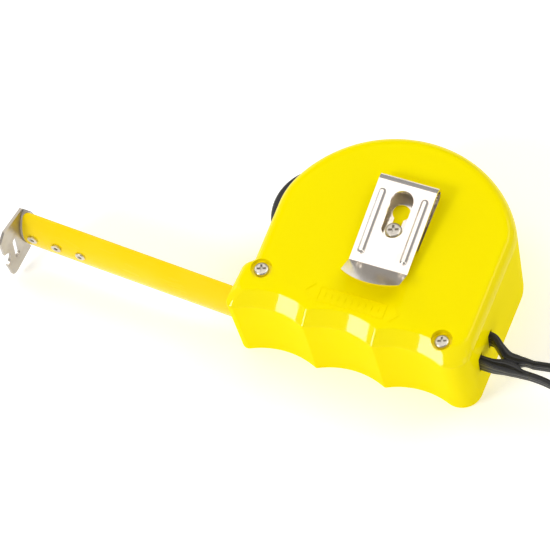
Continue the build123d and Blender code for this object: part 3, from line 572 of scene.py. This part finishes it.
def through(stations: np.ndarray, count: int) -> np.ndarray:
    """A smooth run of values through every station.

    Between two stations each value is the cubic whose slopes at its ends are half the step between the
    neighbours on either side.

    Args:
        stations: One row of values for each station.
        count: How many rows to return.

    Returns:
        The rows, evenly spaced in station number.
    """
    last = len(stations) - 1
    place = np.linspace(0.0, last, count)
    index = np.minimum(place.astype(int), last - 1)
    t = (place - index)[:, None]
    before, start = stations[np.maximum(index - 1, 0)], stations[index]
    end, after = stations[index + 1], stations[np.minimum(index + 2, last)]
    straight = 2 * start + (end - before) * t
    bend = (2 * before - 5 * start + 4 * end - after) * t**2 + (3 * start - before - 3 * end + after) * t**3
    return (straight + bend) / 2


def solid_out(piece: bpy.types.Object) -> None:
    """Make a closed piece's faces point outwards.

    Args:
        piece: The piece.
    """
    work = bmesh.new()
    work.from_mesh(piece.data)
    bmesh.ops.recalc_face_normals(work, faces=work.faces)
    work.to_mesh(piece.data)
    work.free()


def dress(piece: bpy.types.Object, *materials: bpy.types.Material) -> bpy.types.Object:
    """Give a piece its materials, in order.

    Args:
        piece: The piece.
        *materials: Its materials.

    Returns:
        The same piece.
    """
    piece.data.materials.clear()
    for material in materials:
        piece.data.materials.append(material)
    return piece


def paint_node(node: str, material: bpy.types.Material) -> None:
    """Assign a material to every slot of a CAD node's object.

    Args:
        node: The node's name.
        material: The material.
    """
    for slot in frame["nodes"][node].material_slots:
        slot.material = material


def joint(name: str) -> dict:
    """Look up one joint.

    Args:
        name: The joint's name.

    Returns:
        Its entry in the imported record.
    """
    return next(j for j in frame["record"]["behaviour"]["joints"] if j["name"] == name)


# --------------------------------------------------------------------------------------------------
# Sub-assemblies
# --------------------------------------------------------------------------------------------------


@dataclass
class MachinedParts:
    """Every piece whose shape the frame already has: the case, screws, clip, reel, hook and lock."""

    painted: dict[str, Moulding | Metal] = field(
        default_factory=lambda: {
            "back_shell": CASE_YELLOW,
            "front_cover": CASE_YELLOW,
            "front_label": LABEL_FILM,
            "case_screws": SCREW_NICKEL,
            "clip_screw": SCREW_NICKEL,
            "belt_clip": NICKEL,
            "spindle": INNER_BLACK,
            "reel_drum": INNER_BLACK,
            "drum_cover": INNER_BLACK,
            "power_spring": SPRING_STEEL,
            "blade_coil": WOUND_BLADE,
            "blade_run": WOUND_BLADE,
            "hook_rivets": SCREW_NICKEL,
            "end_hook": HOOK_STEEL,
            "lock_button": LOCK_GREY,
            "lock_arm": LOCK_GREY,
            "lock_pad": PAD_RUBBER,
        }
    )

    def build(self) -> None:
        """Give each CAD node its finish."""
        made: dict[str, bpy.types.Material] = {}
        for node, finish in self.painted.items():
            if finish.name not in made:
                made[finish.name] = finish.material()
            paint_node(node, made[finish.name])
        LOG.info("case: %d nodes dressed", len(self.painted))


@dataclass
class Blade:
    """The drawn-out blade: a curved strip with rounded corners, plain outside and printed inside.

    The blade's body doesn't slide. The strip is attached to it at its drawn-out length.
    """

    width: float = 19.0 * MM
    rise: float = 2.7 * MM
    thickness: float = 0.2 * MM
    corner: float = 2.2 * MM
    length: float = 66.9 * MM
    keep: float = 0.045  # the share of its length that is left when it is drawn in
    rows: int = 160
    columns: int = 25
    crowding: float = 1.6  # how far the rows crowd towards the free end, where the corners are round

    def _axes(self) -> tuple[np.ndarray, np.ndarray, np.ndarray, np.ndarray]:
        """The blade's own axes, from its joints.

        Returns:
            The mouth's point, the direction out, the direction up and the concave side's direction.
        """
        mouth = np.array(joint("blade_swing")["pos_m"])
        out = np.array(joint("blade_slide")["axis"])
        out = out / np.linalg.norm(out)
        up = np.array([0.0, 0.0, 1.0])
        return mouth, out, up, np.cross(out, up)

    def _surface(self, along: np.ndarray, across: np.ndarray, depth: float) -> np.ndarray:
        """Points on the blade.

        The section is an arc through both edges, deepest at the middle by the rise. Near the free end the
        half width narrows along a quarter circle, which rounds the corners.

        Args:
            along: Distance from the mouth, in metres.
            across: From -1 to 1 over the width.
            depth: How far towards the concave side, in metres.

        Returns:
            Points, with x, y, z last.
        """
        mouth, out, up, inward = self._axes()
        chord = self.width / 2
        radius = (chord**2 + self.rise**2) / (2 * self.rise)
        into = np.clip(along - (self.length - self.corner), 0.0, self.corner)
        narrowing = self.corner - np.sqrt(np.maximum(self.corner**2 - into**2, 0.0))
        half_angle = np.arcsin((chord - narrowing) / radius)
        angle = across * half_angle
        reach = (radius - depth) * np.sin(angle)
        inwards = radius - self.rise - (radius - depth) * np.cos(angle)
        return (
            mouth
            + along[..., None] * out
            + reach[..., None] * up
            + inwards[..., None] * inward
        )

    def build(self) -> None:
        """Make the strip as one closed skin and dress both of its faces."""
        share = np.linspace(0.0, 1.0, self.rows)
        along = self.length * (1 - (1 - share) ** self.crowding)
        across = np.linspace(-1.0, 1.0, self.columns)
        grid_along, grid_across = np.meshgrid(along, across, indexing="ij")
        outer = self._surface(grid_along, grid_across, 0.0)
        inner = self._surface(grid_along, grid_across[:, ::-1], self.thickness)
        ring = np.concatenate([outer, inner], axis=1)
        v_outer = np.broadcast_to((across + 1) / 2, grid_across.shape)
        v = np.concatenate([v_outer, v_outer[:, ::-1]], axis=1)
        u = np.broadcast_to(along[:, None] / (CHART_LENGTH * MM), v.shape)
        faces = grid_faces(self.rows, 2 * self.columns, True, True)
        strip = mesh_piece("blade_face", ring, faces, np.stack([u, v], axis=-1))
        plain = BladeLacquer("blade_plain", Ink.PLAIN)
        printed = BladeLacquer("blade_printed", Ink.PRINTED)
        dress(strip, plain.material(), printed.material())
        ink = np.zeros(len(faces), dtype=np.int32)
        column = np.arange((self.rows - 1) * 2 * self.columns) % (2 * self.columns)
        ink[: len(column)] = (column >= self.columns) & (column < 2 * self.columns - 1)
        strip.data.polygons.foreach_set("material_index", ink)
        solid_out(strip)
        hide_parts("blade_strip")
        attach(strip, "blade")
        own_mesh(strip)
        LOG.info("blade: %d faces", len(faces))


@dataclass
class WristStrap:
    """The strap: its moulded eyelet and neck, and the loop of thin band.

    A leg's station is its centre's x, y and z, then half its thickness and half its height, in millimetres.
    The route's points are in metres. The band rolls to and fro about its line, at most by the twist in
    degrees, in as many swings as given.
    """

    band_width: float = 3.4 * MM
    band_thickness: float = 1.5 * MM
    sides: int = 28
    leg_rings: int = 48
    route_steps: int = 14
    squareness: float = 0.42
    floor_gap: float = 0.05 * MM
    twist: float = 38.0
    swings: int = 3
    upper_leg: tuple[tuple[float, ...], ...] = (
        (31.2, -10.4, 16.25, 1.0, 3.2),
        (33.8, -10.6, 16.2, 1.0, 3.0),
        (36.2, -12.4, 15.9, 1.15, 2.5),
        (38.9, -14.2, 15.6, 1.5, 2.0),
        (41.6, -14.3, 15.4, 1.4, 1.8),
        (43.8, -13.9, 15.3, 0.85, 1.7),
        (46.2, -14.0, 15.2, 0.75, 1.7),
    )
    lower_leg: tuple[tuple[float, ...], ...] = (
        (31.2, -18.0, 16.25, 1.0, 3.2),
        (33.8, -18.1, 16.2, 1.1, 3.0),
        (36.2, -17.9, 15.9, 1.4, 2.5),
        (38.9, -17.2, 15.6, 1.8, 2.0),
        (41.6, -17.2, 15.4, 1.6, 1.8),
        (43.8, -17.6, 15.3, 0.95, 1.7),
        (46.2, -17.6, 15.2, 0.75, 1.7),
    )
    route: tuple[tuple[float, float, float], ...] = (
        (0.0460, -0.0140, 0.0152),
        (0.0560, -0.0121, 0.0143),
        (0.0730, -0.0065, 0.0076),
        (0.0950, 0.0020, 0.0019),
        (0.1180, 0.0065, 0.0019),
        (0.1390, 0.0010, 0.0019),
        (0.1490, -0.0155, 0.0019),
        (0.1400, -0.0320, 0.0019),
        (0.1180, -0.0385, 0.0019),
        (0.0950, -0.0350, 0.0019),
        (0.0730, -0.0255, 0.0076),
        (0.0560, -0.0173, 0.0143),
        (0.0460, -0.0176, 0.0152),
    )

    def _line(self) -> np.ndarray:
        """The loop's smooth centreline, read from a NURBS curve with no bevel.

        Returns:
            Its points, in order.
        """
        curve = bpy.data.curves.new("strap_route", "CURVE")
        curve.dimensions = "3D"
        curve.resolution_u = self.route_steps
        spline = curve.splines.new("NURBS")
        spline.points.add(len(self.route) - 1)
        for point, place in zip(spline.points, self.route):
            point.co = (*place, 1.0)
        spline.order_u = 3
        spline.use_endpoint_u = True
        holder = bpy.data.objects.new("strap_route", curve)
        mesh = bpy.data.meshes.new_from_object(holder)
        points = np.empty(len(mesh.vertices) * 3)
        mesh.vertices.foreach_get("co", points)
        bpy.data.objects.remove(holder)
        bpy.data.curves.remove(curve)
        bpy.data.meshes.remove(mesh)
        return points.reshape(-1, 3)

    def _band(
        self, line: np.ndarray, thin: np.ndarray, tall: np.ndarray, lean: np.ndarray
    ) -> tuple[np.ndarray, np.ndarray]:
        """Carry a flat rounded section along a line.

        The section is a superellipse whose tall side stands upright, rolled by the lean about the line. Where
        the line runs near the floor, the tall side shrinks to the room there is.

        Args:
            line: The centreline.
            thin: Half the section's thickness at each point.
            tall: Half its height at each point.
            lean: Its roll at each point, in radians.

        Returns:
            The points and their u and v.
        """
        tangent = np.gradient(line, axis=0)
        tangent /= np.linalg.norm(tangent, axis=1, keepdims=True)
        side = np.cross(np.broadcast_to([0.0, 0.0, 1.0], tangent.shape), tangent)
        side /= np.linalg.norm(side, axis=1, keepdims=True)
        upright = np.cross(tangent, side)
        along = np.concatenate([[0.0], np.cumsum(np.linalg.norm(np.diff(line, axis=0), axis=1))])
        tall_way = np.cos(lean)[:, None] * upright + np.sin(lean)[:, None] * side
        thin_way = -np.sin(lean)[:, None] * upright + np.cos(lean)[:, None] * side
        turn = np.linspace(0, 2 * np.pi, self.sides, endpoint=False)
        room = np.minimum(tall, line[:, 2] - self.floor_gap)
        a = np.sign(np.cos(turn)) * np.abs(np.cos(turn)) ** self.squareness
        b = np.sign(np.sin(turn)) * np.abs(np.sin(turn)) ** self.squareness
        points = (
            line[:, None, :]
            + room[:, None, None] * a[None, :, None] * tall_way[:, None, :]
            + thin[:, None, None] * b[None, :, None] * thin_way[:, None, :]
        )
        u = np.broadcast_to(along[:, None], points.shape[:2])
        v = np.broadcast_to(turn / (2 * np.pi), points.shape[:2])
        return points, np.stack([u, v], axis=-1)

    def _eyelet(self) -> bpy.types.Object:
        """The two legs that leave the case and run together into the neck, as one piece.

        Returns:
            The piece.
        """
        legs, charts, faces = [], [], []
        leg_faces = grid_faces(self.leg_rings, self.sides, True, True)
        for stations in (self.upper_leg, self.lower_leg):
            path = through(np.array(stations) * MM, self.leg_rings)
            points, chart = self._band(path[:, :3], path[:, 3], path[:, 4], np.zeros(len(path)))
            first = len(legs) * self.leg_rings * self.sides
            faces += [tuple(i + first for i in face) for face in leg_faces]
            legs.append(points)
            charts.append(chart)
        return mesh_piece("strap_eyelet", np.concatenate(legs), faces, np.concatenate(charts))

    def build(self) -> None:
        """Make the eyelet and the loop, which replace their plain solids."""
        plastic = StrapPlastic("strap_plastic").material()
        eyelet = dress(self._eyelet(), plastic)
        solid_out(eyelet)
        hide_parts("wrist_strap")
        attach(eyelet, "case")
        line = self._line()
        step = np.linalg.norm(np.diff(line, axis=0), axis=1)
        share = np.concatenate([[0.0], np.cumsum(step)]) / step.sum()
        half_thin = np.full(len(line), self.band_thickness / 2)
        half_tall = np.full(len(line), self.band_width / 2)
        lean = np.radians(self.twist) * np.sin(self.swings * np.pi * share) * np.sin(np.pi * share)
        points, chart = self._band(line, half_thin, half_tall, lean)
        loop = mesh_piece("strap_bands", points, grid_faces(len(line), self.sides, True, True), chart)
        dress(loop, plastic)
        solid_out(loop)
        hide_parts("strap_loop")
        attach(loop, "case")
        LOG.info("strap: loop %.0f mm", step.sum() / MM)


@dataclass(frozen=True)
class Panel:
    """A square soft light: where it stands and its side in metres, its power in watts and its colour."""

    name: str
    place: tuple[float, float, float]
    side: float
    power: float
    colour: tuple[float, float, float]

    def build(self) -> None:
        """Make the light and aim it at the object."""
        data = bpy.data.lights.new(self.name, "AREA")
        data.size = self.side
        data.energy = self.power
        data.color = self.colour
        light = bpy.data.objects.new(self.name, data)
        light.location = self.place
        aim = Vector(AIM) - Vector(self.place)
        light.rotation_euler = aim.to_track_quat("-Z", "Y").to_euler()
        bpy.context.scene.collection.objects.link(light)


@dataclass
class Studio:
    """Pale floor, soft panels round the object, and the camera.

    The camera's three angles are in radians, and the lens and its sensor are in millimetres. The shift is how
    far the camera's line of sight passes from the frame's origin, leftwards and upwards, in metres.
    """

    heading: float = 0.5376427
    elevation: float = 1.0581565
    roll: float = -0.2024368
    distance: float = 3.0
    shift: tuple[float, float] = (0.0341437, 0.0080645)
    lens: float = 711.2887
    sensor: float = 36.0
    far: float = 20.0
    floor_side: float = 6.0
    floor_drop: float = 0.05 * MM
    floor_glow: float = 0.32
    haze: float = 0.36
    panels: tuple[Panel, ...] = (
        Panel("key", (-0.51, -0.68, 0.71), 0.3, 4.2, (1.0, 1.0, 1.0)),
        Panel("clip_card", (-0.34, 0.19, 1.14), 0.72, 2.0, (1.0, 0.95, 0.90)),
        Panel("overhead", (0.55, 0.65, 1.2), 0.9, 5.4, (1.0, 0.99, 0.97)),
        Panel("front_fill", (-1.1, 0.25, 0.7), 0.6, 2.0, (1.0, 0.99, 0.97)),
        Panel("rear_fill", (1.2, -0.35, 0.6), 0.5, 1.0, (1.0, 0.98, 0.95)),
    )

    def _axes(self) -> tuple[Vector, Vector, Vector]:
        """Work out how the camera is turned.

        Returns:
            Its right, up and forward directions.
        """
        phi, e, rho = self.heading, self.elevation, self.roll
        forward = Vector((-math.sin(phi) * math.cos(e), math.cos(phi) * math.cos(e), -math.sin(e)))
        right = Vector((math.cos(phi), math.sin(phi), 0.0))
        up = right.cross(forward)
        level_right = math.cos(rho) * right + math.sin(rho) * up
        level_up = -math.sin(rho) * right + math.cos(rho) * up
        return level_right, level_up, forward

    def camera(self) -> None:
        """Stand the camera back from the frame's origin, shifted across its line of sight."""
        right, up, forward = self._axes()
        leftwards, upwards = self.shift
        position = up * upwards - right * leftwards - forward * self.distance
        data = bpy.data.cameras.new("camera")
        data.sensor_width = self.sensor
        data.lens = self.lens
        data.clip_end = self.far
        camera = bpy.data.objects.new("camera", data)
        turn = Matrix((right, up, -forward)).transposed().to_4x4()
        camera.matrix_world = Matrix.Translation(position) @ turn
        bpy.context.scene.collection.objects.link(camera)
        bpy.context.scene.camera = camera

    def floor(self) -> None:
        """A plain near-white floor that ends in a soft haze."""
        corners = np.array([(-1.0, -1.0, 0.0), (1.0, -1.0, 0.0), (1.0, 1.0, 0.0), (-1.0, 1.0, 0.0)])
        floor = mesh_piece("floor", corners * self.floor_side - [0.0, 0.0, self.floor_drop], [(0, 1, 2, 3)])
        tree = Tree("floor_white")
        tree.set(
            Base_Color=tree.mix(tree.noise(3.0), (0.93, 0.93, 0.93, 1.0), (0.95, 0.95, 0.95, 1.0)),
            Roughness=0.9,
            Emission_Color=WHITE,
            Emission_Strength=self.floor_glow,
        )
        dress(floor, tree.material)

    def build(self) -> None:
        """Set up the whole studio."""
        self.camera()
        self.floor()
        for panel in self.panels:
            panel.build()
        bpy.context.scene.view_settings.view_transform = "Standard"
        world = bpy.data.worlds.new("haze")
        world.use_nodes = True
        background = world.node_tree.nodes["Background"]
        background.inputs["Color"].default_value = WHITE
        background.inputs["Strength"].default_value = self.haze
        bpy.context.scene.world = world
        LOG.info("studio ready")


def main() -> None:
    """Build the studio, then each sub-assembly in order."""
    logging.basicConfig(level=logging.INFO, format="%(name)s: %(message)s")
    for part in (Studio(), WristStrap(), MachinedParts(), Blade()):
        part.build()


if __name__ == "__main__":
    main()
